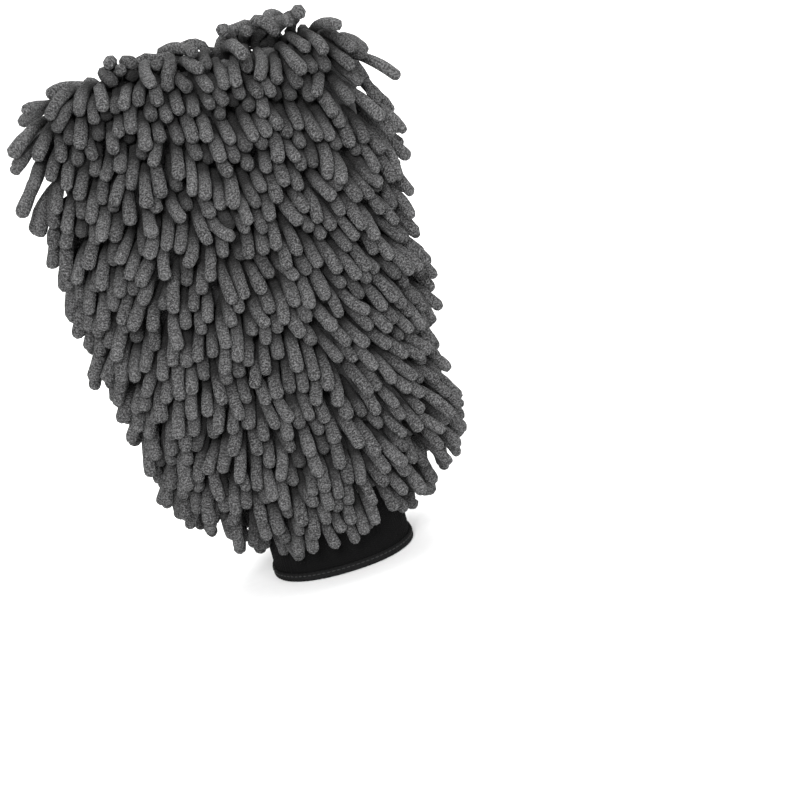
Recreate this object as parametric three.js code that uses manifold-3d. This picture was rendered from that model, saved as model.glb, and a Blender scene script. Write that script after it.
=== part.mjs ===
// Car wash mitt: a soft bag of two chenille faces over a lining, with a knitted elastic cuff.
// Millimetres, +Z up. The origin is the centre of the cuff's mouth, which opens down. The closed
// end is up, the width runs along X and the depth along Y. The front face looks along -Y.

import * as THREE from 'three';
import { mergeVertices } from 'three/addons/utils/BufferGeometryUtils.js';
import Module from 'manifold-3d';

const wasm = await Module();
wasm.setup();

// Driving dimensions: the whole mitt
const ridgeHeight = 253;
const mittTop = 266;
const bodyLean = 7;
const leanStart = 50;
const leanEnd = 120;

// Driving dimensions: the bag of cloth that carries the noodles
const shoulderHeight = 64;
const shoulderHalfWidth = 58;
const cornerHeight = 238;
const cornerHalfWidth = 73.5;
const cornerPull = 13;
const bellyHeight = 100;
const bellyHalfDepth = 31;
const ridgeHalfDepth = 4.5;
const ridgeTaper = 2.4;
const ovalExponent = 2.2;

// Driving dimensions: cloth layers
const gap = 0.3;
const backingThickness = 1.4;
const liningThickness = 1;
const backingSeamWidth = 3;
const liningSeamWidth = 1.2;
const mouthSeamWidth = 2;
const mouthSeamHeight = 3.2;

// Driving dimensions: the cuff
const cuffHalfWidth = 35.5;
const cuffHalfDepth = 28;
const cuffTop = 44;
const cuffOverlap = 6;
const knitThickness = 1.2;
const elasticThickness = 1;
const elasticBottom = 8;
const elasticTop = 38;
const hemThickness = 1;
const hemHeight = 5;

// Driving dimensions: the noodles, as curtains of the space that each row of them hangs in
const rowCount = 16;
const rowStart = 44.5;
const rowEnd = 240.5;
const rowGap = 1.2;
const crownStart = 242;
const noodleReach = 18;
const noodleHang = 14;
const lowestExtraHang = 12;
const extraHangRows = 3;
const noodleStandOff = 0.8;
const noodleTuck = 4;
const crownTilt = THREE.MathUtils.degToRad(75);

// Steps in the meshes
const stepsAround = 28;
const bagLevels = 10;
const crownLevels = 3;
const roomBeyond = 400;

const liningOut = -backingThickness - gap;
const mouthSeamOut = liningOut - liningThickness - gap;
const elasticOut = -knitThickness - gap;
const innerKnitOut = elasticOut - elasticThickness - gap;
const layersIn = innerKnitOut - knitThickness;
const rowPitch = (rowEnd - rowStart) / rowCount;

const finishes = {
  chenille: new THREE.MeshStandardMaterial({ color: 0x4a4a4b, roughness: 0.95, metalness: 0 }),
  backing: new THREE.MeshStandardMaterial({ color: 0x3c3c3e, roughness: 0.9, metalness: 0 }),
  lining: new THREE.MeshStandardMaterial({ color: 0x55575a, roughness: 0.8, metalness: 0 }),
  knit: new THREE.MeshStandardMaterial({ color: 0x141415, roughness: 0.85, metalness: 0 }),
  elastic: new THREE.MeshStandardMaterial({ color: 0xd8d6d0, roughness: 0.7, metalness: 0 }),
  thread: new THREE.MeshStandardMaterial({ color: 0x2b2b2d, roughness: 0.8, metalness: 0 }),
  hem: new THREE.MeshStandardMaterial({ color: 0x1d1d1f, roughness: 0.8, metalness: 0 }),
};

// The bag's half width: a shoulder above the cuff, sides that spread upwards, rounded top corners.
function bagHalfWidth(height) {
  const mouthHalfWidth = cuffHalfWidth + backingThickness + gap;
  if (height < shoulderHeight) {
    const climb = Math.max(0, (height - cuffTop) / (shoulderHeight - cuffTop));
    return mouthHalfWidth + (shoulderHalfWidth - mouthHalfWidth) * Math.sin((climb * Math.PI) / 2);
  }
  const spread = Math.min(1, (height - shoulderHeight) / (cornerHeight - shoulderHeight));
  const side = shoulderHalfWidth + (cornerHalfWidth - shoulderHalfWidth) * spread;
  const corner = Math.max(0, (height - cornerHeight) / (ridgeHeight - cornerHeight));
  return side - cornerPull * (1 - Math.sqrt(1 - Math.min(1, corner) ** 2));
}

// The bag's half depth: full at the belly, closing to the sewn ridge at the top.
function bagHalfDepth(height) {
  const mouthHalfDepth = cuffHalfDepth + backingThickness + gap;
  if (height < bellyHeight) {
    const climb = Math.max(0, (height - cuffTop) / (bellyHeight - cuffTop));
    return mouthHalfDepth + (bellyHalfDepth - mouthHalfDepth) * Math.sin((climb * Math.PI) / 2);
  }
  const closing = ((height - bellyHeight) / (ridgeHeight - bellyHeight)) ** ridgeTaper;
  return bellyHalfDepth - (bellyHalfDepth - ridgeHalfDepth) * closing;
}

// The soft body leans towards -X above the cuff.
function bagCentre(height) {
  return -bodyLean * THREE.MathUtils.smoothstep(height, leanStart, leanEnd);
}

// An oval of the bag at one height, grown outwards, and raised or lowered from where it belongs.
function bagOval(height, out, rise = 0) {
  return {
    centre: bagCentre(height),
    halfWidth: bagHalfWidth(height) + out,
    halfDepth: bagHalfDepth(height) + out,
    height: height + rise,
  };
}

// An oval of the straight cuff at one height, grown outwards.
function cuffOval(height, out) {
  return { centre: 0, halfWidth: cuffHalfWidth + out, halfDepth: cuffHalfDepth + out, height };
}

// The single point where a closed end comes together.
function pole(height) {
  return { centre: bagCentre(height), halfWidth: 0, halfDepth: 0, height };
}

function signedPower(value, power) {
  return Math.sign(value) * Math.abs(value) ** power;
}

// Turns a profile of ovals into one body. Each ring of the lathe is pressed into its own oval.
function ovalLathe(ovals) {
  const profile = ovals.map((oval) => new THREE.Vector2(oval.halfWidth, oval.height));
  const geometry = new THREE.LatheGeometry(profile, stepsAround);
  const places = geometry.attributes.position;
  const power = 2 / ovalExponent;
  for (let step = 0; step <= stepsAround; step += 1) {
    const angle = ((step % stepsAround) / stepsAround) * Math.PI * 2;
    ovals.forEach((oval, index) => {
      const x = oval.centre + oval.halfWidth * signedPower(Math.sin(angle), power);
      const y = -oval.halfDepth * signedPower(Math.cos(angle), power);
      places.setXYZ(step * ovals.length + index, x, y, oval.height);
    });
  }
  return geometry;
}

// A solid for cutting, from a closed geometry: vertices merged, triangles without area left out.
function toSolid(geometry) {
  const bare = geometry.clone();
  bare.deleteAttribute('normal');
  bare.deleteAttribute('uv');
  const merged = mergeVertices(bare, 0.0001);
  const corners = merged.index.array;
  const triangles = [];
  for (let at = 0; at < corners.length; at += 3) {
    const [a, b, c] = corners.slice(at, at + 3);
    if (a !== b && b !== c && c !== a) {
      triangles.push(a, b, c);
    }
  }
  const vertProperties = new Float32Array(merged.attributes.position.array);
  const mesh = new wasm.Mesh({ numProp: 3, vertProperties, triVerts: new Uint32Array(triangles) });
  return new wasm.Manifold(mesh);
}

function toGeometry(solid) {
  const mesh = solid.getMesh();
  const geometry = new THREE.BufferGeometry();
  geometry.setAttribute('position', new THREE.BufferAttribute(mesh.vertProperties, 3));
  geometry.setIndex(new THREE.BufferAttribute(mesh.triVerts, 1));
  geometry.computeVertexNormals();
  return geometry;
}

// A block of space from y = low to y = high, wide and tall enough to hold the whole mitt.
function slice(low, high) {
  const block = new THREE.BoxGeometry(roomBeyond, high - low, roomBeyond * 2);
  block.translate(0, (low + high) / 2, 0);
  return toSolid(block);
}

function frontOf(solid, clear) {
  return solid.intersect(slice(-roomBeyond, -clear));
}

function backOf(solid, clear) {
  return solid.intersect(slice(clear, roomBeyond));
}

function middleOf(solid, width) {
  return solid.intersect(slice(-width / 2, width / 2));
}

// Heights from low to high, close together at both ends, where the bag curves most.
function easedHeights(low, high, count) {
  const heights = [];
  for (let step = 0; step <= count; step += 1) {
    const share = (1 - Math.cos((step / count) * Math.PI)) / 2;
    heights.push(low + (high - low) * share);
  }
  return heights;
}

// Everything inside the bag, grown outwards. Each one has its rings at the same heights, so that
// layers cut from them keep clear of each other.
function bagSolid(bottom, out) {
  const heights = [bottom, ...easedHeights(cuffTop + gap, ridgeHeight, bagLevels)];
  const ovals = heights.map((height) => bagOval(height, out, height === ridgeHeight ? out : 0));
  return toSolid(ovalLathe([pole(bottom), ...ovals, pole(ridgeHeight + out)]));
}

// A bag of cloth, open at the bottom.
function bagShell(bottom, out, thickness) {
  const inside = bagSolid(bottom - cuffTop, out - thickness);
  return bagSolid(bottom, out).subtract(inside);
}

// A hoop of cloth, closed all round: up the outside and down the inside.
function hoop(corners) {
  return toSolid(ovalLathe([...corners, corners[0]]));
}

function cuffTube(bottom, top, out, thickness) {
  return hoop([
    cuffOval(bottom, out),
    cuffOval(top, out),
    cuffOval(top, out - thickness),
    cuffOval(bottom, out - thickness),
  ]);
}

// The folded hem that wraps the cuff's lower edge, with a flat underside at height 0.
function cuffHem() {
  const outFace = gap + hemThickness;
  const inFace = layersIn - gap;
  return hoop([
    cuffOval(0, outFace),
    cuffOval(hemHeight, outFace),
    cuffOval(hemHeight, gap),
    cuffOval(hemThickness, gap),
    cuffOval(hemThickness, inFace),
    cuffOval(hemHeight, inFace),
    cuffOval(hemHeight, inFace - hemThickness),
    cuffOval(0, inFace - hemThickness),
  ]);
}

// The overlocked seam allowance inside the mouth, where cuff, backing and lining are sewn.
function mouthSeam() {
  const bottom = cuffTop + gap;
  const top = bottom + mouthSeamHeight;
  const inner = mouthSeamOut - mouthSeamWidth;
  return hoop([
    bagOval(bottom, mouthSeamOut),
    bagOval(bottom, mouthSeamOut, top - bottom),
    bagOval(bottom, inner, top - bottom),
    bagOval(bottom, inner),
  ]);
}

// The space that one row of noodles hangs in, down and outwards from the backing. The lowest rows
// hang further, with none below them.
function rowCurtain(row) {
  const bottom = rowStart + row * rowPitch;
  const top = bottom + rowPitch - rowGap;
  const hang = noodleHang + lowestExtraHang * Math.max(0, 1 - row / extraHangRows);
  return hoop([
    bagOval(bottom, noodleReach, -hang),
    bagOval(top, noodleReach, -hang),
    bagOval(top, noodleStandOff),
    bagOval((bottom + top) / 2, noodleStandOff),
    bagOval(bottom, noodleStandOff),
  ]);
}

// The space of the noodles on the ridge, which turn from hanging outwards to standing up.
function crownCap() {
  const heights = easedHeights(crownStart, ridgeHeight, crownLevels);
  const hangAngle = -Math.atan2(noodleHang, noodleReach);
  const hangLength = Math.hypot(noodleHang, noodleReach);
  const topLength = (mittTop - ridgeHeight) / Math.sin(crownTilt);
  const outside = heights.map((height) => {
    const share = (height - crownStart) / (ridgeHeight - crownStart);
    const angle = THREE.MathUtils.lerp(hangAngle, crownTilt, share);
    const length = THREE.MathUtils.lerp(hangLength, topLength, share);
    return bagOval(height, length * Math.cos(angle), length * Math.sin(angle));
  });
  const tuckRise = (noodleHang * noodleTuck) / noodleReach;
  const inside = bagOval(crownStart, -noodleTuck, tuckRise);
  const cap = toSolid(ovalLathe([pole(inside.height), inside, ...outside, pole(mittTop)]));
  return cap.subtract(bagSolid(0, noodleStandOff));
}

function addPiece(group, name, solid, finish) {
  const mesh = new THREE.Mesh(toGeometry(solid), finish);
  mesh.name = name;
  group.add(mesh);
}

function addBag(group) {
  const backing = bagShell(cuffTop - cuffOverlap, 0, backingThickness);
  const backingClear = backingSeamWidth / 2 + gap;
  addPiece(group, 'front_backing', frontOf(backing, backingClear), finishes.backing);
  addPiece(group, 'back_backing', backOf(backing, backingClear), finishes.backing);
  addPiece(group, 'side_seam', middleOf(backing, backingSeamWidth), finishes.thread);
  const lining = bagShell(cuffTop + gap / 2, liningOut, liningThickness);
  const liningClear = liningSeamWidth / 2 + gap;
  addPiece(group, 'front_lining', frontOf(lining, liningClear), finishes.lining);
  addPiece(group, 'back_lining', backOf(lining, liningClear), finishes.lining);
  addPiece(group, 'lining_seam', middleOf(lining, liningSeamWidth), finishes.thread);
  addPiece(group, 'mouth_seam', mouthSeam(), finishes.thread);
}

function addCuff(group) {
  const layerBottom = hemThickness + gap;
  const outerKnit = cuffTube(layerBottom, cuffTop, 0, knitThickness);
  const elastic = cuffTube(elasticBottom, elasticTop, elasticOut, elasticThickness);
  const innerKnit = cuffTube(layerBottom, cuffTop, innerKnitOut, knitThickness);
  addPiece(group, 'cuff_outer', outerKnit, finishes.knit);
  addPiece(group, 'cuff_inner', innerKnit, finishes.knit);
  addPiece(group, 'cuff_elastic', elastic, finishes.elastic);
  addPiece(group, 'cuff_hem', cuffHem(), finishes.hem);
}

function addNoodles(group) {
  for (let row = 0; row < rowCount; row += 1) {
    const curtain = rowCurtain(row);
    const number = String(row + 1).padStart(2, '0');
    addPiece(group, `front_noodles_${number}`, frontOf(curtain, gap), finishes.chenille);
    addPiece(group, `back_noodles_${number}`, backOf(curtain, gap), finishes.chenille);
  }
  const crown = crownCap();
  addPiece(group, 'front_noodles_crown', frontOf(crown, gap), finishes.chenille);
  addPiece(group, 'back_noodles_crown', backOf(crown, gap), finishes.chenille);
}

const washMitt = new THREE.Group();
addBag(washMitt);
addCuff(washMitt);
addNoodles(washMitt);

export default washMitt;
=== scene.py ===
# %% [markdown]
# # A car wash mitt covered in chenille noodles
#
# A wash mitt is a soft bag that goes over the hand. Its two faces are cloth with long chenille
# noodles rooted in it, the inside is lined, and a short knitted cuff grips the wrist.
# The plain solids that fix its size and place come in as a frame. This lesson dresses them:
# first the camera, then the shape of the bag, then every noodle, the cloths, the cuff and the
# light. All lengths are in metres, and MM turns millimetres into them.

# %% Load the fixed frame
import math

import bpy
import numpy as np
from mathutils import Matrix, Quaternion, Vector


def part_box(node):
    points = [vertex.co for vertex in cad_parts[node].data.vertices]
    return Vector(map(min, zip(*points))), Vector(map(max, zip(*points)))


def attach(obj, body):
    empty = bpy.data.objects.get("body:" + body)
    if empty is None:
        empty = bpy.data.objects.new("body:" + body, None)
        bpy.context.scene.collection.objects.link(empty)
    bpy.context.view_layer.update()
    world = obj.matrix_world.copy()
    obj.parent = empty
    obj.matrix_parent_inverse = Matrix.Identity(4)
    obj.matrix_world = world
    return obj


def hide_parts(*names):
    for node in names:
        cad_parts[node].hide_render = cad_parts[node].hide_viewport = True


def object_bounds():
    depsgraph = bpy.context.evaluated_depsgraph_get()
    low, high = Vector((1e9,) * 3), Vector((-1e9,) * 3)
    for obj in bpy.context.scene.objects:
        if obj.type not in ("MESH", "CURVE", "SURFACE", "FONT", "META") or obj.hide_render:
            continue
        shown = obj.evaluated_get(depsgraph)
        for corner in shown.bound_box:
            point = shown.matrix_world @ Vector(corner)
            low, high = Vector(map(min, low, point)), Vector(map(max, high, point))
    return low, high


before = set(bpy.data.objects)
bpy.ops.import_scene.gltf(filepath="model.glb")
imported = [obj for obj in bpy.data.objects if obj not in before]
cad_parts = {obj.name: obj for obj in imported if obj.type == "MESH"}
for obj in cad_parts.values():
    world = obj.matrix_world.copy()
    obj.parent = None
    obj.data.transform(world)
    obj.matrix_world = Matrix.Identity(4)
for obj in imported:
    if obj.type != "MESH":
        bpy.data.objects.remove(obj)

MM = 0.001
CAD_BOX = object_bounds()
print("the frame spans", [round(side / MM) for side in CAD_BOX[1] - CAD_BOX[0]], "mm")

# %% [markdown]
# ## The camera
#
# The mitt is seen from the front and a little from above, leaning to the left, and it stands
# in the left of the picture. A lens could be shifted sideways for that, but a shift would stay
# in every other view. The camera is aimed past the mitt instead: it looks at the mitt first,
# is rolled, and is then turned right and down until the mitt sits where it should.

# %% Aim the camera
VIEW_DISTANCE = 0.762
VIEW_ELEVATION = math.radians(11)
VIEW_ROLL = math.radians(16)
TURN_RIGHT = math.radians(4.93)
TURN_DOWN = math.radians(3.1)
LENS = 70


def aim_camera(target):
    data = bpy.data.cameras.new("camera")
    data.lens = LENS
    camera = bpy.data.objects.new("camera", data)
    bpy.context.collection.objects.link(camera)
    bpy.context.scene.camera = camera
    back = Vector((0, -math.cos(VIEW_ELEVATION), math.sin(VIEW_ELEVATION)))
    facing = (-back).to_track_quat("-Z", "Y")
    roll = Quaternion((0, 0, 1), -VIEW_ROLL)
    turn = Quaternion((0, 1, 0), -TURN_RIGHT) @ Quaternion((1, 0, 0), -TURN_DOWN)
    camera.location = target + back * VIEW_DISTANCE
    camera.rotation_mode = "QUATERNION"
    camera.rotation_quaternion = facing @ roll @ turn
    return camera


middle = Vector((-3.5 * MM, 0, (CAD_BOX[0][2] + CAD_BOX[1][2]) / 2))
aim_camera(middle)
print("the camera stands", VIEW_DISTANCE, "m from the mitt's middle")

# %% [markdown]
# ## The shape of the bag
#
# Everything grows from one soft shape: the cloth bag. At each height it is an oval with its own
# half width, half depth and centre. The bag leaves the cuff in a rounded shoulder, spreads
# towards the top, closes to a thin ridge there and leans a little to one side. Formulas give
# the oval at any height, so roots, cloths and seams all agree about where the cloth is.

# %% Describe the bag by its ovals
cuff_low, cuff_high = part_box("cuff_outer")
backing_low, backing_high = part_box("front_backing")
CLOTH = 1.7 * MM
CUFF_WIDTH = (cuff_high[0] - cuff_low[0]) / 2
CUFF_DEPTH = (cuff_high[1] - cuff_low[1]) / 2
MOUTH_WIDTH, MOUTH_DEPTH = CUFF_WIDTH + CLOTH, CUFF_DEPTH + CLOTH
MOUTH = cuff_high[2]
RIDGE = backing_high[2]
SHOULDER, SHOULDER_WIDTH = 64 * MM, 58 * MM
CORNER, CORNER_WIDTH, CORNER_PULL = 238 * MM, 73.5 * MM, 13 * MM
BELLY, BELLY_DEPTH = 100 * MM, -backing_low[1]
RIDGE_DEPTH, RIDGE_TAPER = 4.5 * MM, 2.4
LEAN, LEAN_START, LEAN_END = 7 * MM, 50 * MM, 120 * MM
OVAL = 2.2


def climb(height, low, high):
    return np.clip((np.asarray(height, float) - low) / (high - low), 0, 1)


def half_width(height):
    rise = np.sin(climb(height, MOUTH, SHOULDER) * np.pi / 2)
    side = MOUTH_WIDTH + (SHOULDER_WIDTH - MOUTH_WIDTH) * rise
    side = side + (CORNER_WIDTH - SHOULDER_WIDTH) * climb(height, SHOULDER, CORNER)
    return side - CORNER_PULL * (1 - np.sqrt(1 - climb(height, CORNER, RIDGE) ** 2))


def half_depth(height):
    rise = np.sin(climb(height, MOUTH, BELLY) * np.pi / 2)
    belly = MOUTH_DEPTH + (BELLY_DEPTH - MOUTH_DEPTH) * rise
    return belly - (BELLY_DEPTH - RIDGE_DEPTH) * climb(height, BELLY, RIDGE) ** RIDGE_TAPER


def centre(height):
    share = climb(height, LEAN_START, LEAN_END)
    return -LEAN * share**2 * (3 - 2 * share)


def signed_power(value, power):
    return np.sign(value) * np.abs(value) ** power


def on_bag(angle, height, out=0.0):
    """The point of the bag at an angle round it, 0 at the front, and a height."""
    x = centre(height) + (half_width(height) + out) * signed_power(np.sin(angle), 2 / OVAL)
    y = -(half_depth(height) + out) * signed_power(np.cos(angle), 2 / OVAL)
    return np.stack([x, y, np.broadcast_to(height, x.shape)], axis=-1)


def oval_excess(points):
    """How far outside its oval each point is, as a share of the oval's size."""
    height = np.minimum(points[..., 2], RIDGE)
    across = np.abs(points[..., 0] - centre(height)) / half_width(height)
    deep = np.abs(points[..., 1]) / half_depth(height)
    return (across**OVAL + deep**OVAL + 1e-9) ** (1 / OVAL) - 1


def bag_distance(points):
    """Distance from the bag's surface, positive outside, and the direction away from it."""
    step = 0.1 * MM
    slope = np.zeros_like(points)
    for axis in range(3):
        nudge = np.zeros(3)
        nudge[axis] = step
        slope[..., axis] = (oval_excess(points + nudge) - oval_excess(points - nudge)) / (2 * step)
    steepness = np.linalg.norm(slope, axis=-1, keepdims=True) + 1e-9
    side = oval_excess(points) / steepness[..., 0]
    above = points[..., 2] - RIDGE
    on_top = above > side
    away = slope / steepness
    away[on_top] = (0, 0, 1)
    return np.where(on_top, above, side), away


print("the bag is", round(float(2 * half_width(BELLY)) / MM), "mm wide at its belly")

# %% [markdown]
# ## Where the noodles are rooted
#
# Chenille cloth carries its noodles in rows, and neighbours in a row stand a little higher and
# lower in turn, so that they pack like a honeycomb. The rows of the frame give the heights, and
# the two lowest are rooted closer, because nothing below helps them to hide the cloth. Each row is
# spaced out by length along its oval, not by angle, or the noodles would crowd at the sides. Near
# the top a crown row, a brow row and a row on the ridge itself are added on each face. A seeded
# generator adds the small errors of real tufting. Another seed gives the same pile with another
# outline. This one was picked out of fourteen by its outline, and because it keeps every noodle in
# the camera's view.

# %% Root the noodles in rows
NOODLE_RADIUS = 2.95 * MM
ROOT_SPACING = 5.3 * MM
LOW_ROW_SHARES = (0.72, 0.9)
RIDGE_SHARE = 0.78
CROWN_DROP, BROW_DROP = 8 * MM, 3.2 * MM
ZIGZAG = 3.0 * MM
FACES = {"front": 0.0, "back": np.pi}
random = np.random.default_rng(52)


def spread_along(height, number_of_steps=400):
    """Angles across one face and the length along the oval at each of them."""
    angles = np.linspace(-np.pi / 2, np.pi / 2, number_of_steps)
    places = on_bag(angles, np.full(number_of_steps, height))
    steps = np.linalg.norm(np.diff(places, axis=0), axis=1)
    return angles, np.concatenate([[0], np.cumsum(steps)])


def root_row(height, turn, shift, spacing=ROOT_SPACING):
    angles, lengths = spread_along(height)
    count = int(lengths[-1] / spacing)
    places = (np.arange(count) + 0.5 + shift) / count * lengths[-1]
    places = places + random.uniform(-0.8, 0.8, count) * MM
    angle = np.interp(places, lengths, angles) + turn
    level = height + ZIGZAG * (np.arange(count) % 2 * 2 - 1) + random.uniform(-2, 2, count) * MM
    return on_bag(angle, level)


def root_ridge(side):
    """Roots on the narrow flat of the ridge, beside the seam."""
    reach = half_width(RIDGE) - 1 * MM
    count = int(2 * reach / (RIDGE_SHARE * ROOT_SPACING))
    x = centre(RIDGE) + np.linspace(-reach, reach, count) + random.uniform(-1, 1, count) * MM
    y = side * random.uniform(1.5, 3.6, count) * MM
    return np.stack([x, y, np.full(count, RIDGE)], axis=-1)


row_names = sorted(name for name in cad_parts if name.startswith("front_noodles_"))
row_names = [name.removeprefix("front_") for name in row_names if "crown" not in name]
row_tops = [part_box("front_" + name)[1][2] for name in row_names]
ROW_PITCH = (row_tops[-1] - row_tops[3]) / (len(row_tops) - 4)
roots, owners, row_pieces = [], [], []
for face, turn in FACES.items():
    for number, (name, top) in enumerate(zip(row_names, row_tops)):
        tightness = LOW_ROW_SHARES[number] if number < len(LOW_ROW_SHARES) else 1
        places = root_row(top - ROW_PITCH / 2, turn, 0.25 * (-1) ** number, ROOT_SPACING * tightness)
        roots.append(places)
        owners.append(np.full(len(places), len(row_pieces)))
        row_pieces.append(f"{face}_{name}")
    crown = root_row(RIDGE - CROWN_DROP, turn, 0.25)
    brow = root_row(RIDGE - BROW_DROP, turn, -0.1)
    brow[:, 2] = np.minimum(brow[:, 2], RIDGE - 1 * MM)
    ridge = root_ridge(-1 if face == "front" else 1)
    for places in (crown, brow, ridge):
        roots.append(places)
        owners.append(np.full(len(places), len(row_pieces)))
    row_pieces.append(f"{face}_noodles_crown")
roots = np.concatenate(roots)
owners = np.concatenate(owners)
print(len(roots), "noodles in", len(row_pieces), "rows")

# %% [markdown]
# ## Which way each noodle wants to go
#
# A noodle leaves the cloth steeply and its weight bends it over, so that its tip points down and
# a little away from the bag. Each one has three directions of its own to work with: out of the
# cloth, down along the cloth, and sideways. Its lean to the side comes from brushing, which leaves
# a parting up the front, from its neighbours, because noodles lie over in clumps, and from chance.
# On the flat of the ridge nothing is down, so noodles flop to either side of it, flatter at the
# left end and taller at the right, and a few unruly ones stand up.

# %% Design the free shape of each noodle
CHAIN_POINTS = 9
NOODLE_LENGTH = 30 * MM
ROOT_ANGLE, TIP_ANGLE = math.radians(66), math.radians(24)
FLIPPED_SHARE = 0.3
UNRULY_SHARE = 0.12
noodle_count = len(roots)
_, outward = bag_distance(roots)
down = np.array([0, 0, -1.0]) - outward * -outward[:, 2:3]
flat_top = np.abs(outward[:, 2]) > 0.9
down[flat_top] = 0
down[flat_top, 1] = np.sign(roots[flat_top, 1])
down /= np.linalg.norm(down, axis=1, keepdims=True)
down[flat_top & (random.uniform(0, 1, noodle_count) < FLIPPED_SHARE)] *= -1
sideways = np.cross(outward, down)


def clump_lean(places):
    """A slow wave over the cloth that tips neighbouring noodles the same way."""
    x, y, z = (places / MM).T
    wave = np.sin(x / 17 + z / 31 + 1.0) + np.sin(z / 15 - x / 23 + y / 9) + np.sin(x / 9 + z / 12)
    return math.radians(4.5) * wave


def ease(value, low, high):
    share = climb(value, low, high)
    return share**2 * (3 - 2 * share)


def combed(places):
    """How far the pile is brushed towards +X, away from a parting right of the bag's middle."""
    x, z = places[:, 0], places[:, 2]
    right = 30 * ease(x, 2 * MM, 40 * MM) * (1 - 0.9 * ease(z, 120 * MM, 200 * MM))
    left = -14 * ease(-x, 5 * MM, 50 * MM)
    return np.radians(right + left)


def scattered(middle, spread, count):
    """Angles scattered about a middle one. Both are in degrees, and the result is in radians."""
    return np.radians(random.normal(middle, spread, count))


length = NOODLE_LENGTH * random.normal(1, 0.09, noodle_count).clip(0.78, 1.2)
girth = random.normal(1, 0.05, noodle_count).clip(0.88, 1.12)
lean = clump_lean(roots) + scattered(0, 7, noodle_count)
lean += combed(roots) * sideways[:, 0]
curl = scattered(0, 14, noodle_count)
root_angle = ROOT_ANGLE + scattered(0, 8, noodle_count)
tip_angle = TIP_ANGLE + scattered(0, 8, noodle_count)
from_middle = np.abs(roots[:, 0] - centre(roots[:, 2])) / half_width(roots[:, 2])
ends = np.sign(roots[:, 0]) * ease(from_middle, 0.45, 0.95)
flop = math.radians(60) * ends * sideways[:, 0] + scattered(0, 34, noodle_count)
root_angle[flat_top] = scattered(42, 12, flat_top.sum())
tip_angle[flat_top] = scattered(-36, 12, flat_top.sum())
along_ridge = np.clip((roots[:, 0] - centre(roots[:, 2])) / (60 * MM), -1, 1)
root_angle[flat_top] += math.radians(26) * along_ridge[flat_top]
length[flat_top] *= 1 + 0.15 * along_ridge[flat_top].clip(0, 1)
tip_angle[flat_top] += np.radians(np.where(along_ridge > 0, 8, 22) * along_ridge)[flat_top]
lean[flat_top] = flop[flat_top]
unruly = (roots[:, 2] > RIDGE - 5 * MM) & (random.uniform(0, 1, noodle_count) < UNRULY_SHARE)
root_angle[unruly] = scattered(60, 10, unruly.sum())
tip_angle[unruly] = scattered(18, 12, unruly.sum())
length[unruly] *= 0.85
corner = climb(roots[:, 2], 205 * MM, 240 * MM) * climb(from_middle, 0.7, 0.95)
tip_angle += np.where(roots[:, 0] < 0, math.radians(24), math.radians(8)) * corner
lowest = roots[:, 2] < MOUTH + 30 * MM
length[lowest] = length[lowest].clip(0.9 * NOODLE_LENGTH, 1.08 * NOODLE_LENGTH)

share = np.linspace(0, 1, CHAIN_POINTS - 1)[None, :]
rise = root_angle[:, None] + (tip_angle - root_angle)[:, None] * share**0.8
yaw = lean[:, None] + curl[:, None] * share
along_cloth = np.cos(yaw)[..., None] * down[:, None] + np.sin(yaw)[..., None] * sideways[:, None]
free_way = np.cos(rise)[..., None] * along_cloth + np.sin(rise)[..., None] * outward[:, None]
link = (length - NOODLE_RADIUS)[:, None] / (CHAIN_POINTS - 1)
print("noodles are", round(float(length.mean()) / MM, 1), "mm long on average")

# %% [markdown]
# ## Letting them settle against each other
#
# The free shapes would pass through each other. Blender's cloth solver is made for sheets, so a
# small solver for thick threads does it here. Each noodle is a chain of beads. Round after round,
# beads that overlap push apart, beads inside the bag are lifted out, weight pulls a little, every
# link bends back towards its free direction, and every link keeps its length. Beads ask for a
# little elbow room, because a finished noodle is lumpy. They are sorted into boxes of space first,
# so that only near ones are compared. Roots are sewn down and can't move, so where they crowd, on
# the ridge most of all, some overlap stays at the cloth.

# %% Settle the noodles
ROUNDS = 140
ELBOW_ROOM = 1.08
BEND_BACK = 0.10
SAG = 0.05 * MM
PUSH_SHARE = 0.6


def near_pairs(beads, reach):
    """Index pairs of beads that lie within reach of each other, each pair once."""
    cell = np.floor((beads - beads.min(axis=0)) / reach).astype(np.int64) + 1
    span = cell.max(axis=0) + 2
    key = (cell[:, 0] * span[1] + cell[:, 1]) * span[2] + cell[:, 2]
    order = np.argsort(key, kind="stable")
    sorted_key = key[order]
    pairs = []
    for dx in (-1, 0, 1):
        for dy in (-1, 0, 1):
            for dz in (-1, 0, 1):
                wanted = key + (dx * span[1] + dy) * span[2] + dz
                first = np.searchsorted(sorted_key, wanted, "left")
                number = np.searchsorted(sorted_key, wanted, "right") - first
                one = np.repeat(np.arange(len(beads)), number)
                offset = np.arange(number.sum()) - np.repeat(np.cumsum(number) - number, number)
                other = order[np.repeat(first, number) + offset]
                keep = one < other
                pairs.append(np.stack([one[keep], other[keep]]))
    one, other = np.concatenate(pairs, axis=1)
    close = np.linalg.norm(beads[one] - beads[other], axis=1) < reach
    return one[close], other[close]


def push_apart(beads, one, other, room, freedom):
    gap = beads[other] - beads[one]
    distance = np.linalg.norm(gap, axis=1) + 1e-9
    overlap = np.maximum(0, room - distance)
    push = gap * (overlap / distance * 0.5)[:, None]
    for axis in range(3):
        gained = np.bincount(other, push[:, axis], len(beads))
        moved = gained - np.bincount(one, push[:, axis], len(beads))
        beads[:, axis] += moved * freedom * PUSH_SHARE
    return float(overlap.max())


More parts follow.
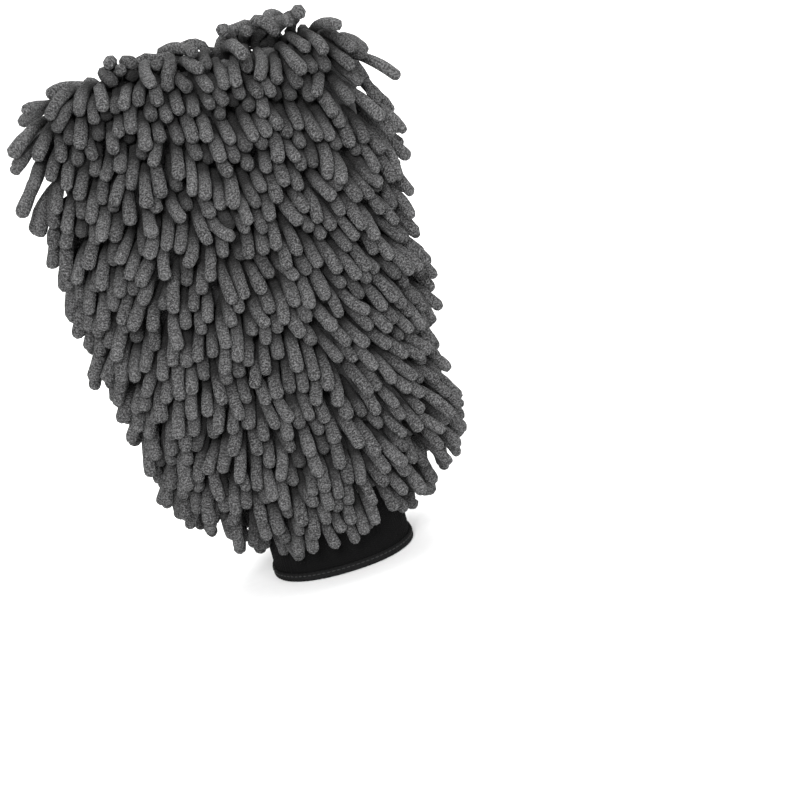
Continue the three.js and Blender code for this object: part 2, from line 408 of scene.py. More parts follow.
def settle(chains, free_way, link, radius):
    bead_radius = np.repeat(radius, CHAIN_POINTS)
    noodle_of = np.repeat(np.arange(len(chains)), CHAIN_POINTS)
    freedom = np.tile(np.clip(np.arange(CHAIN_POINTS) / 3, 0, 1), len(chains))
    for turn in range(ROUNDS):
        beads = chains.reshape(-1, 3)
        if turn % 6 == 0:
            one, other = near_pairs(beads, 2.7 * NOODLE_RADIUS)
            apart = noodle_of[one] != noodle_of[other]
            one, other = one[apart], other[apart]
            room = (bead_radius[one] + bead_radius[other]) * ELBOW_ROOM
        beads[:, 2] -= SAG * freedom
        worst = push_apart(beads, one, other, room, freedom)
        distance, away = bag_distance(beads)
        lift = np.maximum(0, bead_radius * 0.9 - distance) * (freedom > 0.5)
        beads += away * lift[:, None]
        chains = beads.reshape(-1, CHAIN_POINTS, 3)
        for point in range(1, CHAIN_POINTS):
            free_place = chains[:, point - 1] + free_way[:, point - 1] * link
            chains[:, point] += BEND_BACK * (free_place - chains[:, point])
            step = chains[:, point] - chains[:, point - 1]
            step *= link / (np.linalg.norm(step, axis=1, keepdims=True) + 1e-9)
            chains[:, point] = chains[:, point - 1] + step
    print("deepest overlap left, with roots and elbow room:", round(worst / MM, 2), "mm")
    return chains


steps = free_way * link[..., None]
reached = np.concatenate([np.zeros((noodle_count, 1, 3)), np.cumsum(steps, axis=1)], axis=1)
chains = roots[:, None] + reached
chains = settle(chains, free_way, link, NOODLE_RADIUS * girth)

# %% [markdown]
# ## How deep each part lies in the pile
#
# Fine fibres shade each other far more than smooth tubes do, so the parts of a noodle that lie
# deep in the pile look nearly black on the real mitt. Each bead looks outwards and counts how
# much pile hangs over it. The result, 1 in the open and 0 deep inside, goes to the finish, which
# paints this shade into the noodles' colour.

# %% Count the pile above each bead
SHADE_REACH = 14 * MM
SHADE_FULL = 26


def openness(chains):
    beads = chains.reshape(-1, 3)
    noodle_of = np.repeat(np.arange(len(chains)), CHAIN_POINTS)
    _, away = bag_distance(beads)
    one, other = near_pairs(beads, SHADE_REACH)
    apart = noodle_of[one] != noodle_of[other]
    one, other = one[apart], other[apart]
    cover = np.zeros(len(beads))
    for this, that in ((one, other), (other, one)):
        gap = beads[that] - beads[this]
        distance = np.linalg.norm(gap, axis=1) + 1e-9
        above = np.maximum(0, (gap * away[this]).sum(axis=1) / distance)
        cover += np.bincount(this, above, len(beads))
    return np.clip(1 - cover / SHADE_FULL, 0, 1).reshape(chains.shape[:2])


in_the_open = openness(chains)
print("light at roots, middles and tips:", in_the_open[:, [0, 4, 8]].mean(axis=0).round(2).tolist())

# %% [markdown]
# ## From chains to round noodles
#
# A chenille noodle is a tube with a domed tip. Its rings are spaced widely along the straight
# part and closely over the dome. Thousands of faces would be wasted on each of the many noodles,
# so seven sides and eleven rings have to do. The centrelines go into a mesh of loose edges, and a
# Geometry Nodes tree turns every one into a tube: it narrows the root, rounds the tip, makes the
# surface lumpy and knobbly with noise, and writes down the length along the noodle for the finish.

# %% Draw the centrelines
DOME = np.array([0.05, 0.28, 0.72])
BODY_RINGS = 8


def smooth_places(chain, wanted):
    """Points along a chain at the wanted lengths, on a curve with no corners."""
    lengths = np.concatenate([[0], np.cumsum(np.linalg.norm(np.diff(chain, axis=0), axis=1))])
    slopes = np.gradient(chain, lengths, axis=0)
    at = np.clip(np.searchsorted(lengths, wanted) - 1, 0, len(chain) - 2)
    span = (lengths[at + 1] - lengths[at])[:, None]
    t = (wanted - lengths[at])[:, None] / span
    keep, leave = (1 + 2 * t) * (1 - t) ** 2, t * (1 - t) ** 2
    reach, arrive = t**2 * (3 - 2 * t), t**2 * (t - 1)
    ends = chain[at] * keep + chain[at + 1] * reach
    return ends + span * (slopes[at] * leave + slopes[at + 1] * arrive)


def centreline(chain, radius):
    way = chain[-1] - chain[-2]
    tip = chain[-1] + way / np.linalg.norm(way) * radius
    chain = np.concatenate([chain, tip[None]])
    total = np.linalg.norm(np.diff(chain, axis=0), axis=1).sum()
    body = np.linspace(0, total - 1.15 * radius, BODY_RINGS)
    return smooth_places(chain, np.concatenate([body, total - DOME[::-1] * radius]))


def light_along(member):
    """The light on each ring of a noodle: the last rings stand on its tip and share its light."""
    shares = np.concatenate([np.linspace(0, 1, BODY_RINGS), np.ones(len(DOME))])
    return np.interp(shares, np.linspace(0, 1, CHAIN_POINTS), in_the_open[member])


def line_mesh(name, members):
    rings = BODY_RINGS + len(DOME)
    points = np.concatenate([centreline(chains[m], NOODLE_RADIUS * girth[m]) for m in members])
    starts = np.arange(len(points)).reshape(-1, rings)
    edges = np.stack([starts[:, :-1].ravel(), starts[:, 1:].ravel()], axis=1)
    mesh = bpy.data.meshes.new(name)
    mesh.from_pydata(points.tolist(), edges.tolist(), [])
    for title, values in (("girth", girth[members]), ("tone", tones[members])):
        layer = mesh.attributes.new(title, "FLOAT", "POINT")
        layer.data.foreach_set("value", np.repeat(values, rings).astype(np.float32))
    light = np.concatenate([light_along(m) for m in members])
    layer = mesh.attributes.new("light", "FLOAT", "POINT")
    layer.data.foreach_set("value", light.astype(np.float32))
    return mesh


tones = random.uniform(0, 1, noodle_count)
print("each noodle has", BODY_RINGS + len(DOME), "rings")

# %% Build the Geometry Nodes tree that makes noodles
THIN_SHARE, FULL_SHARE = 0.74, 1.04
NODE_KINDS = {
    "math": "ShaderNodeMath",
    "noise": "ShaderNodeTexNoise",
    "range": "ShaderNodeMapRange",
}


def add_node(tree, kind, values=(), **settings):
    """Adds a node. A value is a plain number or colour, or the output it is fed from."""
    node = tree.nodes.new(NODE_KINDS.get(kind, kind))
    for name, setting in settings.items():
        setattr(node, name, setting)
    for title, value in dict(values).items():
        if isinstance(value, bpy.types.NodeSocket):
            tree.links.new(value, node.inputs[title])
        else:
            node.inputs[title].default_value = value
    return node


def math_node(tree, operation, first, second=0.0):
    node = add_node(tree, "math", {0: first, 1: second}, operation=operation)
    return node.outputs[0]


def tree_with_inputs(name, inputs):
    tree = bpy.data.node_groups.new(name, "GeometryNodeTree")
    for title, kind in inputs.items():
        tree.interface.new_socket(title, in_out="INPUT", socket_type="NodeSocket" + kind)
    tree.interface.new_socket("Mesh", in_out="OUTPUT", socket_type="NodeSocketGeometry")
    given = tree.nodes.new("NodeGroupInput").outputs
    return tree, given


def close_tree(tree, geometry, finish):
    """Every tree ends the same way: real faces, smooth shading and a finish."""
    real = add_node(tree, "GeometryNodeRealizeInstances", {0: geometry})
    smooth = add_node(tree, "GeometryNodeSetShadeSmooth", {"Geometry": real.outputs[0]})
    painted = {"Geometry": smooth.outputs[0], "Material": finish}
    painted = add_node(tree, "GeometryNodeSetMaterial", painted)
    result = tree.nodes.new("NodeGroupOutput")
    tree.links.new(painted.outputs[0], result.inputs[0])
    return tree


def uneven(tree, per_metre, amount):
    """A noise that runs over and under zero, an amount wide in all."""
    noise = add_node(tree, "noise", {"Scale": per_metre, "Detail": 1.0})
    centred = math_node(tree, "SUBTRACT", noise.outputs[0], 0.5)
    return math_node(tree, "MULTIPLY", centred, amount)


def noodle_thickness(tree, given):
    """Radius along a noodle: thinner at the root, lumpy in the middle, domed at the tip."""
    way = add_node(tree, "GeometryNodeSplineParameter")
    total = add_node(tree, "GeometryNodeSplineLength").outputs["Length"]
    girth = add_node(tree, "GeometryNodeInputNamedAttribute", {"Name": "girth"}, data_type="FLOAT")
    radius = math_node(tree, "MULTIPLY", given["Radius"], girth.outputs["Attribute"])
    to_tip = math_node(tree, "SUBTRACT", total, way.outputs["Length"])
    into_dome = math_node(tree, "SUBTRACT", 1.0, math_node(tree, "DIVIDE", to_tip, radius))
    into_dome = math_node(tree, "MAXIMUM", into_dome, 0.0)
    squared = math_node(tree, "POWER", into_dome, 2.0)
    dome = math_node(tree, "SQRT", math_node(tree, "SUBTRACT", 1.0, squared))
    shares = {"To Min": THIN_SHARE, "To Max": FULL_SHARE}
    waist = {"Value": way.outputs["Length"], "From Max": given["Waist length"], **shares}
    waist = add_node(tree, "range", waist, interpolation_type="SMOOTHSTEP")
    lump = uneven(tree, given["Lumps per metre"], given["Lumpiness"])
    radius = math_node(tree, "MULTIPLY", radius, math_node(tree, "ADD", 1.0, lump))
    radius = math_node(tree, "MULTIPLY", radius, waist.outputs[0])
    return math_node(tree, "MULTIPLY", radius, dome), way.outputs["Length"]


def noodle_tree():
    tree, given = tree_with_inputs(
        "chenille noodles",
        {
            "Lines": "Geometry",
            "Radius": "Float",
            "Sides": "Int",
            "Waist length": "Float",
            "Lumps per metre": "Float",
            "Lumpiness": "Float",
            "Knobs per metre": "Float",
            "Knob height": "Float",
            "Finish": "Material",
        },
    )
    curves = add_node(tree, "GeometryNodeMeshToCurve", {"Mesh": given["Lines"]})
    thickness, along = noodle_thickness(tree, given)
    noted = add_node(
        tree,
        "GeometryNodeStoreNamedAttribute",
        {"Geometry": curves.outputs[0], "Name": "along", "Value": along},
        data_type="FLOAT",
        domain="POINT",
    )
    section = {"Resolution": given["Sides"], "Radius": 1.0}
    section = add_node(tree, "GeometryNodeCurvePrimitiveCircle", section).outputs[0]
    tubes = {"Curve": noted.outputs[0], "Profile Curve": section, "Scale": thickness, "Fill Caps": True}
    tubes = add_node(tree, "GeometryNodeCurveToMesh", tubes).outputs[0]
    knobs = uneven(tree, given["Knobs per metre"], given["Knob height"])
    normal = add_node(tree, "GeometryNodeInputNormal").outputs[0]
    push = {"Vector": normal, "Scale": knobs}
    push = add_node(tree, "ShaderNodeVectorMath", push, operation="SCALE").outputs[0]
    knobbly = add_node(tree, "GeometryNodeSetPosition", {"Geometry": tubes, "Offset": push})
    return close_tree(tree, knobbly.outputs[0], given["Finish"])


def run_tree(piece, tree, values):
    """Runs a tree on a piece with its inputs filled in, and keeps the plain mesh it makes."""
    modifier = piece.modifiers.new(tree.name, "NODES")
    modifier.node_group = tree
    for item in tree.interface.items_tree:
        if item.in_out == "INPUT" and item.name in values:
            modifier[item.identifier] = values[item.name]
    return keep_result(piece)


def keep_result(piece):
    """Replaces a piece's mesh and its modifiers by the plain mesh that they make."""
    seen = piece.evaluated_get(bpy.context.evaluated_depsgraph_get())
    made = bpy.data.meshes.new_from_object(seen)
    piece.modifiers.clear()
    piece.data = made
    return piece


noodle_maker = noodle_tree()
print("the noodle tree has", len(noodle_maker.nodes), "nodes")

# %% [markdown]
# ## The chenille finish
#
# Chenille is thousands of fine fibres standing out from a twisted core. The fibres stand in
# tufts, their ends show as specks, and the twist shows as faint rings across the noodle. Real hair
# would be far too heavy, so tufts come from a Voronoi pattern, specks from a fine noise and rings
# from a sine of the length along the noodle. Together they feed a colour and a bump. Each noodle
# also gets its own slight tone, and the light counted above darkens what lies deep in the pile.
# A slight sheen softens the edges. Its numbers stand on the shader itself.

# %% Make the chenille finish
RING_SPACING = 1.3 * MM
SPECK_SIZE = 0.95 * MM
TUFT_SIZE = 0.85 * MM
TUFT_SHARE, SPECK_SHARE, RING_SHARE = 0.38, 0.40, 0.22
DARK_BELOW, OPEN_ABOVE = 0.7, 1.0


def new_finish(name, roughness, sheen=0.0, gloss=0.25):
    finish = bpy.data.materials.new(name)
    finish.use_nodes = True
    shader = finish.node_tree.nodes["Principled BSDF"]
    shader.inputs["Roughness"].default_value = roughness
    shader.inputs["Specular IOR Level"].default_value = gloss
    shader.inputs["Sheen Weight"].default_value = sheen
    shader.inputs["Sheen Roughness"].default_value = 0.6
    return finish, finish.node_tree, shader


def noise_on_object(tree, size, detail=2.0, roughness=0.5):
    place = add_node(tree, "ShaderNodeTexCoord").outputs["Object"]
    values = {"Vector": place, "Scale": 1 / size, "Detail": detail, "Roughness": roughness}
    return add_node(tree, "noise", values).outputs[0]


def colour_between(tree, share, dark, light):
    mix = add_node(tree, "ShaderNodeMix", {"Factor": share}, data_type="RGBA")
    mix.inputs[6].default_value = (*dark, 1)
    mix.inputs[7].default_value = (*light, 1)
    return mix.outputs[2]


def connect(tree, shader, colour, height, depth, strength=1.0):
    tree.links.new(colour, shader.inputs["Base Color"])
    bump = add_node(tree, "ShaderNodeBump", {"Height": height, "Distance": depth, "Strength": strength})
    tree.links.new(bump.outputs[0], shader.inputs["Normal"])


def spread(tree, value, low, high):
    """Stretches the part of a value between low and high to run from 0 to 1."""
    return add_node(tree, "range", {"Value": value, "From Min": low, "From Max": high}).outputs[0]


def blend(tree, parts):
    """The sum of values, each times its share."""
    (first, first_share), *others = parts
    total = math_node(tree, "MULTIPLY", first, first_share)
    for value, share in others:
        total = math_node(tree, "ADD", total, math_node(tree, "MULTIPLY", value, share))
    return total


def chenille_finish():
    finish, tree, shader = new_finish("chenille", 0.95, sheen=0.03, gloss=0.2)
    along = add_node(tree, "ShaderNodeAttribute", attribute_name="along").outputs["Fac"]
    tone = add_node(tree, "ShaderNodeAttribute", attribute_name="tone").outputs["Fac"]
    light = add_node(tree, "ShaderNodeAttribute", attribute_name="light").outputs["Fac"]
    place = add_node(tree, "ShaderNodeTexCoord").outputs["Object"]
    tufts = add_node(tree, "ShaderNodeTexVoronoi", {"Vector": place, "Scale": 1 / TUFT_SIZE})
    tufts = math_node(tree, "SUBTRACT", 1.0, spread(tree, tufts.outputs["Distance"], 0.05, 0.75))
    specks = spread(tree, noise_on_object(tree, SPECK_SIZE, 1.0), 0.3, 0.7)
    wander = math_node(tree, "MULTIPLY", noise_on_object(tree, 1.6 * MM), 16.0)
    turns = math_node(tree, "ADD", math_node(tree, "MULTIPLY", along, 2 * math.pi / RING_SPACING), wander)
    rings = math_node(tree, "MULTIPLY_ADD", math_node(tree, "SINE", turns), 0.5)
    rings.node.inputs[2].default_value = 0.5
    fibre = blend(tree, ((tufts, TUFT_SHARE), (specks, SPECK_SHARE), (rings, RING_SHARE)))
    fibre = spread(tree, fibre, 0.25, 0.78)
    share = math_node(tree, "ADD", fibre, math_node(tree, "MULTIPLY", tone, 0.12))
    lit = colour_between(tree, share, (0.014, 0.014, 0.0142), (0.152, 0.152, 0.1535))
    # Painted shade: where much pile hangs over a noodle, its colour is mixed towards near black.
    shade = {"Value": light, "From Min": DARK_BELOW, "From Max": OPEN_ABOVE, "To Min": 0.03}
    shade = add_node(tree, "range", shade)
    deep = add_node(tree, "ShaderNodeMix", {"Factor": shade.outputs[0]}, data_type="RGBA")
    deep.inputs[6].default_value = (0.006, 0.006, 0.006, 1)
    tree.links.new(lit, deep.inputs[7])
    connect(tree, shader, deep.outputs[2], fibre, 0.9 * MM)
    return finish


chenille = chenille_finish()
print("chenille rings are", RING_SPACING / MM, "mm apart")

# %% [markdown]
# ## Growing the rows
#
# Each row of noodles is one piece, as each row of the cloth is tufted in one go. It takes the
# place of the plain curtain that stood for it in the frame.

# %% Grow every row of noodles
def place_piece(name, mesh):
    piece = bpy.data.objects.new(name, mesh)
    bpy.context.collection.objects.link(piece)
    return piece


def stands_for(piece, slot, *nodes):
    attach(piece, "root")
    if nodes:
        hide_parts(*nodes)
    return piece


noodle_sizes = {
    "Radius": NOODLE_RADIUS,
    "Sides": 7,
    "Waist length": 24 * MM,
    "Lumps per metre": 1 / (4 * MM),
    "Lumpiness": 0.36,
    "Knobs per metre": 1 / (2.4 * MM),
    "Knob height": 0.9 * MM,
    "Finish": chenille,
}
for number, node in enumerate(row_pieces):
    members = np.flatnonzero(owners == number)
    row = place_piece("row_" + node, line_mesh(node, members))
    run_tree(row, noodle_maker, noodle_sizes)
    stands_for(row, "chenille", node)
print("the last row has", len(row.data.polygons), "faces")

# %% [markdown]
# ## Cloth and bands from grids
#
# All that is left, apart from the stitches, is sheets and bands that follow ovals. One helper lays
# a grid of points into a mesh with a UV map in metres, so that a weave keeps its size over the
# surface.
# Sheets get their thickness from a Solidify modifier, and bands are closed all round.

# %% Helpers that lay cloth
def grid_mesh(name, points, wrap_rows=False, wrap_columns=False):
    """A mesh from points[row, column]. Rows that go up and columns that go right face outwards."""
    rows, columns = points.shape[:2]
    index = np.arange(rows * columns).reshape(rows, columns)
    if wrap_rows:
        index = np.concatenate([index, index[:1]])
    if wrap_columns:
        index = np.concatenate([index, index[:, :1]], axis=1)
    quads = np.stack([index[:-1, :-1], index[:-1, 1:], index[1:, 1:], index[1:, :-1]], axis=-1)
    mesh = bpy.data.meshes.new(name)
    mesh.from_pydata(points.reshape(-1, 3).tolist(), [], quads.reshape(-1, 4).tolist())
    mesh.shade_smooth()
    lay_uv(mesh, points, index.shape)
    return mesh


def lay_uv(mesh, points, shape):
    """A UV map in metres: u runs along the columns and v up the rows."""
    closed = np.concatenate([points, points[:1]]) if shape[0] > points.shape[0] else points
    closed = np.concatenate([closed, closed[:, :1]], axis=1) if shape[1] > points.shape[1] else closed
    across = np.linalg.norm(np.diff(closed, axis=1), axis=2).mean(axis=0)
    upward = np.linalg.norm(np.diff(closed, axis=0), axis=2).mean(axis=1)
    u = np.concatenate([[0], np.cumsum(across)])
    v = np.concatenate([[0], np.cumsum(upward)])
    corners = np.stack(np.broadcast_arrays(u[None, :], v[:, None]), axis=-1)
    quads = np.stack([corners[:-1, :-1], corners[:-1, 1:], corners[1:, 1:], corners[1:, :-1]], axis=2)
    layer = mesh.uv_layers.new(name="weave")
    layer.uv.foreach_set("vector", quads.reshape(-1).astype(np.float32))


def finish_piece(name, mesh, finish, thickness=0.0):
    mesh.materials.append(finish)
    piece = place_piece(name, mesh)
    if thickness:
        solidify = piece.modifiers.new("thickness", "SOLIDIFY")
        solidify.thickness = thickness
        solidify.offset = -1
        keep_result(piece)
    return piece


def ring_points(height, width, depth, angles, middle):
    x = middle + width * signed_power(np.sin(angles), 2 / OVAL)
    y = -depth * signed_power(np.cos(angles), 2 / OVAL)
    return np.stack(np.broadcast_arrays(x, y, height), axis=-1)


def bag_rows(bottom, out, rows):
    """Ovals up the bag and over its ridge: height, half width, half depth and centre of each."""
    up = np.linspace(bottom, RIDGE - 1.5 * MM, rows)
    over = np.array([0.75, 0.5, 0.3])
    height = np.concatenate([up, RIDGE + out - over**2 * MM])
    width = np.concatenate([half_width(up) + out, half_width(RIDGE) + out - (1 - over) * 3 * MM])
    depth = np.concatenate([half_depth(up) + out, (RIDGE_DEPTH + out) * over])
    return height, width, depth, centre(height)


def half_panel(name, turn, bottom, out, seam, ripple=0.0):
    """One face of the bag from seam to seam, closed over the ridge."""
    height, width, depth, middle = (part[:, None] for part in bag_rows(bottom, out, 60))
    reach = np.arccos(np.clip(seam / depth, 0, 1) ** (OVAL / 2))
    angles = np.linspace(-1, 1, 72)[None, :] * reach
    waves = ripple * (np.sin(angles * 9 + height * 60) + np.sin(height * 210 + angles * 4) - 2) / 4
    fade = climb(height, bottom, bottom + 20 * MM) * climb(RIDGE - height, 0, 30 * MM)
    waves = waves * np.cos(angles) * fade
    points = ring_points(height, width + waves, depth + waves, angles + turn, middle)
    return grid_mesh(name, points)


def band(name, section, rows=360, wobble=None):
    """A closed band round an oval: section is a loop of (out, height) round the cuff's outer face."""
    angles = np.linspace(0, 2 * np.pi, rows, endpoint=False)[None, :]
    out, height = (np.array(section).T * MM)[:, :, None]
    if wobble is not None:
        out = out + wobble(angles, height)
    points = ring_points(height, CUFF_WIDTH + out, CUFF_DEPTH + out, angles, 0.0)
    return grid_mesh(name, points, wrap_rows=True, wrap_columns=True)


print("helpers are ready for a bag", round(RIDGE / MM), "mm tall")

# %% [markdown]
# ## Woven and knitted finishes
#
# The backing is a plain dark knit, the lining a thin woven polyester, the cuff a ribbed knit.
# The hem, the elastic and the thread of the seams are cloth of the same kind. All are the same
# idea: two waves across each other on the UV map make threads, and a fine noise roughens them.
# Only the sizes and colours differ, so one function makes all six.

# %% Make the cloth finishes
def woven_finish(name, dark, light, thread, roughness=0.9, sheen=0.2, gloss=0.25, depth=0.25 * MM):
    finish, tree, shader = new_finish(name, roughness, sheen, gloss)
    place = add_node(tree, "ShaderNodeUVMap", uv_map="weave").outputs[0]
    parts = add_node(tree, "ShaderNodeSeparateXYZ", {0: place})
    waves = []
    for axis in (0, 1):
        turns = math_node(tree, "MULTIPLY", parts.outputs[axis], 2 * math.pi / thread[axis])
        waves.append(math_node(tree, "SINE", turns))
    weave = math_node(tree, "MULTIPLY", waves[0], waves[1])
    weave = spread(tree, weave, -1.0, 1.0)
    fuzz = noise_on_object(tree, 0.5 * MM, 2.0)
    patches = noise_on_object(tree, 14 * MM, 2.0)
    share = blend(tree, ((weave, 0.5), (fuzz, 0.3), (patches, 0.2)))
    height = math_node(tree, "ADD", weave, math_node(tree, "MULTIPLY", fuzz, 0.6))
    connect(tree, shader, colour_between(tree, share, dark, light), height, depth)
    return finish


backing_knit = woven_finish("backing_knit", (0.012,) * 3, (0.05, 0.05, 0.051), (1.6 * MM, 1.2 * MM))
lining_weave = woven_finish(
    "lining_weave", (0.05,) * 3, (0.12, 0.122, 0.126), (0.7 * MM, 0.7 * MM), roughness=0.7
)
cuff_knit = woven_finish(
    "cuff_knit", (0.001,) * 3, (0.006, 0.006, 0.0062), (2.2 * MM, 1.1 * MM), sheen=0.0, gloss=0.06
)
hem_knit = woven_finish(
    "hem_knit", (0.002,) * 3, (0.010, 0.010, 0.0102), (2.2 * MM, 0.9 * MM), 0.85, sheen=0.0, gloss=0.1
)
elastic_weave = woven_finish(
    "elastic_weave", (0.42, 0.41, 0.39), (0.7, 0.69, 0.66), (1.0 * MM, 0.8 * MM), roughness=0.6
)
seam_thread = woven_finish(
    "seam_thread", (0.006,) * 3, (0.025, 0.025, 0.0255), (0.8 * MM, 0.5 * MM), roughness=0.8, sheen=0.05
)
print("six cloth finishes made")

# %% [markdown]
# ## The bag
#
# Two backing panels carry the noodles and two lining panels hang inside them. They are smooth
# where they are stretched over the hand's shape, and the lining ripples a little, always
# inwards, so that it never comes through the backing.

# %% Make backing and lining
SEAM_GAP = 0.3 * MM
for face, turn in FACES.items():
    backing = half_panel(f"{face}_backing_cloth", turn, backing_low[2], 0.0, 1.8 * MM)
    backing = finish_piece(backing.name, backing, backing_knit, 1.2 * MM)
    stands_for(backing, "backing", f"{face}_backing")
    lining = half_panel(f"{face}_lining_cloth", turn, MOUTH + SEAM_GAP, -CLOTH, 0.9 * MM, 2.2 * MM)
    lining = finish_piece(lining.name, lining, lining_weave, 0.6 * MM)
    stands_for(lining, "lining", f"{face}_lining")
print("backing and lining panels made")


# %% [markdown]
# ## Seams
#
# The panels meet in a seam that runs up one side, over the ridge and down the other. It is a
# narrow band with the small ridges of overlocked thread across it. The same band, smaller, joins
# the lining, and a thicker ring of it goes round the mouth.

# %% Make the seams
def seam_band(name, bottom, out, width, depth, loop):
    """A band of overlocked thread over the bag in the plane of the sides."""
    height, half, _, middle = bag_rows(bottom, out, 220)
    right = np.stack([middle + half, np.zeros_like(half), height], axis=-1)
    left = np.stack([middle - half, np.zeros_like(half), height], axis=-1)
    path = np.concatenate([right, left[::-1]])
    steps = np.linalg.norm(np.diff(path, axis=0), axis=1)
    lengths = np.concatenate([[0], np.cumsum(steps)])
    even = np.linspace(0, lengths[-1], int(lengths[-1] / (loop / 6)))
    path = np.stack([np.interp(even, lengths, path[:, axis]) for axis in range(3)], axis=-1)
    way = np.gradient(path, axis=0)
    way /= np.linalg.norm(way, axis=1, keepdims=True)
    outward = np.cross(way, (0, -1.0, 0))
    corner = np.linspace(0, 2 * np.pi, 10, endpoint=False)
    swell = 1 + 0.12 * np.sin(even / loop * 2 * np.pi)
    across = np.cos(corner)[:, None] * width / 2 * np.ones_like(swell)
    thick = np.sin(corner)[:, None] * depth / 2 * swell - depth / 2
    points = path[None] + across[..., None] * (0, -1.0, 0) + thick[..., None] * outward[None]
    return grid_mesh(name, points, wrap_rows=True)


def ring_seam(name):
    loops = 120
    low, high, inner, outer = 44.4, 47.4, -3.2, -1.4
    corner = np.linspace(0, 2 * np.pi, 12, endpoint=False)
    section = np.stack([
        (inner + outer) / 2 + (outer - inner) / 2 * np.cos(corner),
        (low + high) / 2 + (high - low) / 2 * np.sin(corner),
    ], axis=1)
    return band(name, section, 720, lambda angle, height: 0.12 * MM * np.sin(angle * loops))


print("seams are ready")

# %% Place the seams
side_seam = seam_band("side_seam_band", backing_low[2], 0.0, 3.0 * MM, 1.4 * MM, 2.4 * MM)
side_seam = finish_piece("side_seam_band", side_seam, seam_thread)
stands_for(side_seam, "seam_thread", "side_seam")
lining_seam = seam_band("lining_seam_band", MOUTH + SEAM_GAP, -CLOTH, 1.2 * MM, 1.0 * MM, 1.8 * MM)
lining_seam = finish_piece("lining_seam_band", lining_seam, seam_thread)
stands_for(lining_seam, "seam_thread", "lining_seam")
mouth_seam = finish_piece("mouth_seam_band", ring_seam("mouth_seam_band"), seam_thread)
stands_for(mouth_seam, "seam_thread", "mouth_seam")
print("three seams placed")

# %% [markdown]
# ## The cuff
#
# The cuff is a tube of ribbed knit, doubled over an elastic band and closed at its lower edge by
# a folded hem. Ribs are real ridges in the mesh, because they show at the silhouette. Where the
# elastic pulls, the knit gathers into shallow folds that fade out towards the hem.

# %% Knit the cuff
RIB_COUNT = 96
RIB_DEPTH = 0.22 * MM
GATHER_DEPTH = 0.5 * MM


def knit_wobble(angle, height):
    ribs = RIB_DEPTH * (np.cos(angle * RIB_COUNT) - 1) / 2
    folds = np.sin(angle * 11 + 1.7 * np.sin(angle * 3)) + 0.6 * np.sin(angle * 23 + 0.8)
    gather = GATHER_DEPTH * (folds - 1.6) / 3.2 * climb(height, 3 * MM, 20 * MM)
    return ribs + gather


def tube_section(low, high, outer, thickness, rows):
    """A loop up the outside and down the inside of a tube, as (out, height) in millimetres."""
    up = [(outer, height) for height in np.linspace(low, high, rows)]
    down = [(outer - thickness, height) for height in np.linspace(high, low, rows)]
    return up + down


def cuff_layer(name, node, heights, outer, thickness, finish, slot):
    section = tube_section(*heights, outer, thickness, 16)
    mesh = band(name, section, RIB_COUNT * 6, knit_wobble)
    return stands_for(finish_piece(name, mesh, finish), slot, node)


KNIT_HEIGHTS, ELASTIC_HEIGHTS = (1.5, 43.8), (8.0, 38.0)
cuff_outer = cuff_layer("cuff_outer_knit", "cuff_outer", KNIT_HEIGHTS, 0.0, 0.9, cuff_knit, "cuff_knit")
cuff_inner = cuff_layer("cuff_inner_knit", "cuff_inner", KNIT_HEIGHTS, -3.1, 0.8, cuff_knit, "cuff_knit")
elastic = cuff_layer(
    "cuff_elastic_band", "cuff_elastic", ELASTIC_HEIGHTS, -1.8, 0.7, elastic_weave, "elastic"
)


def hem_section():
    """The folded hem: round at the bottom, with its two lips gripping the cuff's layers."""
    outer, inner, lip, top = 1.1, -5.2, 0.9, 4.8
    middle, radius = (outer + inner) / 2, (outer - inner) / 2
    turn = np.linspace(0, -np.pi, 11)
    fold = np.stack([middle + radius * np.cos(turn), 1.1 + 1.1 * np.sin(turn)], axis=1)
    inside = [(inner, 3.0), (inner + 0.15, top), (inner + lip, top - 0.1), (inner + lip, 1.4)]
    outside = [(outer - lip, 1.4), (outer - lip, top - 0.1), (outer - 0.15, top), (outer, 3.0)]
    return inside[::-1] + [tuple(point) for point in fold[::-1]] + outside[::-1]


def hem_wobble(angle, height):
    return 0.1 * MM * np.cos(angle * RIB_COUNT)


hem = band("cuff_hem_fold", hem_section(), RIB_COUNT * 4, hem_wobble)
hem = finish_piece("cuff_hem_fold", hem, hem_knit)
stands_for(hem, "cuff_hem", "cuff_hem")
print("cuff knitted with", RIB_COUNT, "ribs")

# %% [markdown]
# ## The stitches of the hem
#
# A row of short stitches holds the hem. They repeat along a path, so Geometry Nodes lay them: the
# path is cut into even steps, a small thread is set on each one and turned along it.

# %% Stitch the hem
def stitch_tree():
    inputs = {
        "Path": "Geometry",
        "Stitches": "Int",
        "Thread radius": "Float",
        "Stitch length": "Float",
        "Finish": "Material",
    }
    tree, given = tree_with_inputs("hem stitches", inputs)
    curve = add_node(tree, "GeometryNodeMeshToCurve", {"Mesh": given["Path"]})
    steps = {"Curve": curve.outputs[0], "Count": given["Stitches"]}
    steps = add_node(tree, "GeometryNodeResampleCurve", steps)
    tangent = add_node(tree, "GeometryNodeInputTangent").outputs[0]
    turn = add_node(tree, "FunctionNodeAlignRotationToVector", {"Vector": tangent}, axis="Z")
    thread = add_node(tree, "GeometryNodeMeshUVSphere", {"Segments": 6, "Rings": 5, "Radius": 1.0})
    size = add_node(
        tree,
        "ShaderNodeCombineXYZ",
        {0: given["Thread radius"], 1: given["Thread radius"], 2: given["Stitch length"]},
    )
    laid = add_node(
        tree,
        "GeometryNodeInstanceOnPoints",
        {
            "Points": steps.outputs[0],
            "Instance": thread.outputs[0],
            "Rotation": turn.outputs[0],
            "Scale": size.outputs[0],
        },
    )
    return close_tree(tree, laid.outputs[0], given["Finish"])


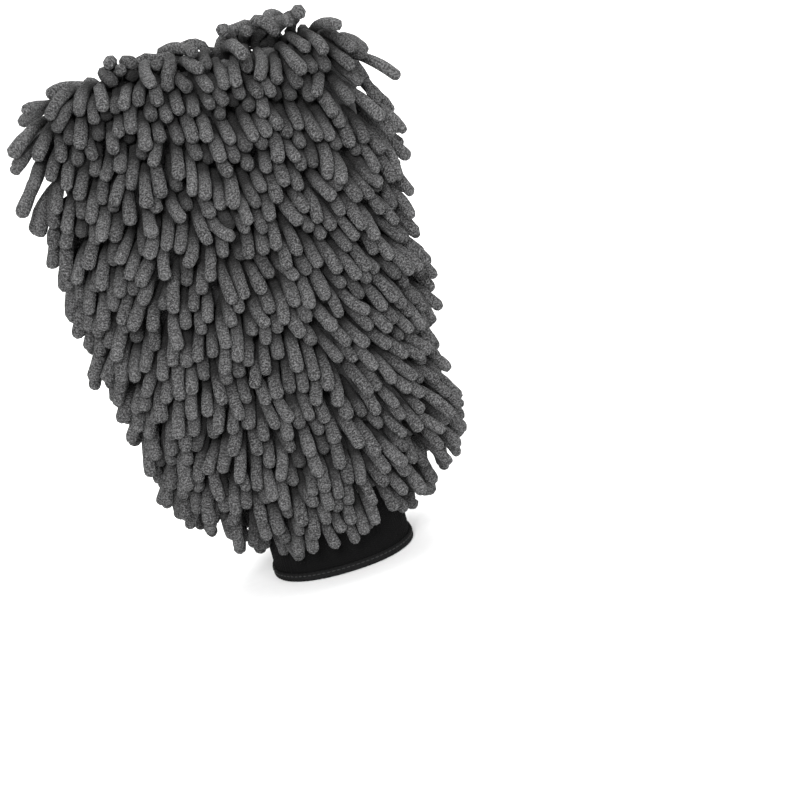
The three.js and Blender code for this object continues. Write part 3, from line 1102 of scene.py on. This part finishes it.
def hem_path(height, out, steps=240):
    angles = np.linspace(0, 2 * np.pi, steps, endpoint=False)
    points = ring_points(height, CUFF_WIDTH + out, CUFF_DEPTH + out, angles, 0.0)
    edges = [(step, (step + 1) % steps) for step in range(steps)]
    mesh = bpy.data.meshes.new("hem_stitch_path")
    mesh.from_pydata(points.tolist(), edges, [])
    return mesh


stitches = place_piece("hem_stitches", hem_path(3.4 * MM, 1.15 * MM))
stitch_sizes = {
    "Stitches": 84,
    "Thread radius": 0.28 * MM,
    "Stitch length": 0.95 * MM,
    "Finish": seam_thread,
}
run_tree(stitches, stitch_tree(), stitch_sizes)
stands_for(stitches, "seam_thread")
print("hem stitches:", len(stitches.data.polygons), "faces")

# %% [markdown]
# ## Floor and light
#
# A pale sweep of paper stands in for a studio: a floor that curves up behind, so that no horizon
# shows. Two soft lights stand in front, one hangs above and one brightens the paper behind. With a
# bright room they give the flat, even light in which only the gaps between noodles go dark. The
# Standard view transform keeps the white paper white.

# %% Set the studio
def studio_sweep():
    depth, radius, height, width = 1.2, 0.5, 3.0, 8.0
    turn = np.linspace(0, np.pi / 2, 16)
    profile = [(-6.0, 0.0)] + [(depth + radius * np.sin(t), radius - radius * np.cos(t)) for t in turn]
    profile += [(depth + radius, height)]
    points = np.array([[(x, y, z) for x in (-width, width)] for y, z in profile])
    finish, tree, shader = new_finish("studio_paper", 0.95)
    grain = noise_on_object(tree, 4 * MM, 2.0)
    connect(tree, shader, colour_between(tree, grain, (0.88,) * 3, (0.92,) * 3), grain, 0.05 * MM)
    mesh = grid_mesh("studio_sweep", points)
    return finish_piece("studio_sweep", mesh, finish)


def soft_light(name, place, aim, size, power):
    data = bpy.data.lights.new(name, "AREA")
    data.shape = "SQUARE"
    data.size = size
    data.energy = power
    light = bpy.data.objects.new(name, data)
    bpy.context.collection.objects.link(light)
    light.location = place
    light.rotation_mode = "QUATERNION"
    light.rotation_quaternion = (Vector(aim) - Vector(place)).to_track_quat("-Z", "Y")
    return light


studio_sweep()
soft_light("key", (-0.2, -1.4, 0.85), middle, 0.5, 31)
soft_light("fill", (0.9, -1.2, 0.45), middle, 0.8, 8)
soft_light("top", (0, 0.0, 1.6), middle, 1.2, 10)
soft_light("backdrop", (0.4, 0.9, 1.6), (0.4, 1.1, 0), 1.6, 34)
world = bpy.data.worlds.new("room")
bpy.context.scene.world = world
world.use_nodes = True
world.node_tree.nodes["Background"].inputs["Color"].default_value = (1, 1, 1, 1)
world.node_tree.nodes["Background"].inputs["Strength"].default_value = 0.6
bpy.context.scene.view_settings.view_transform = "Standard"
print("studio set")
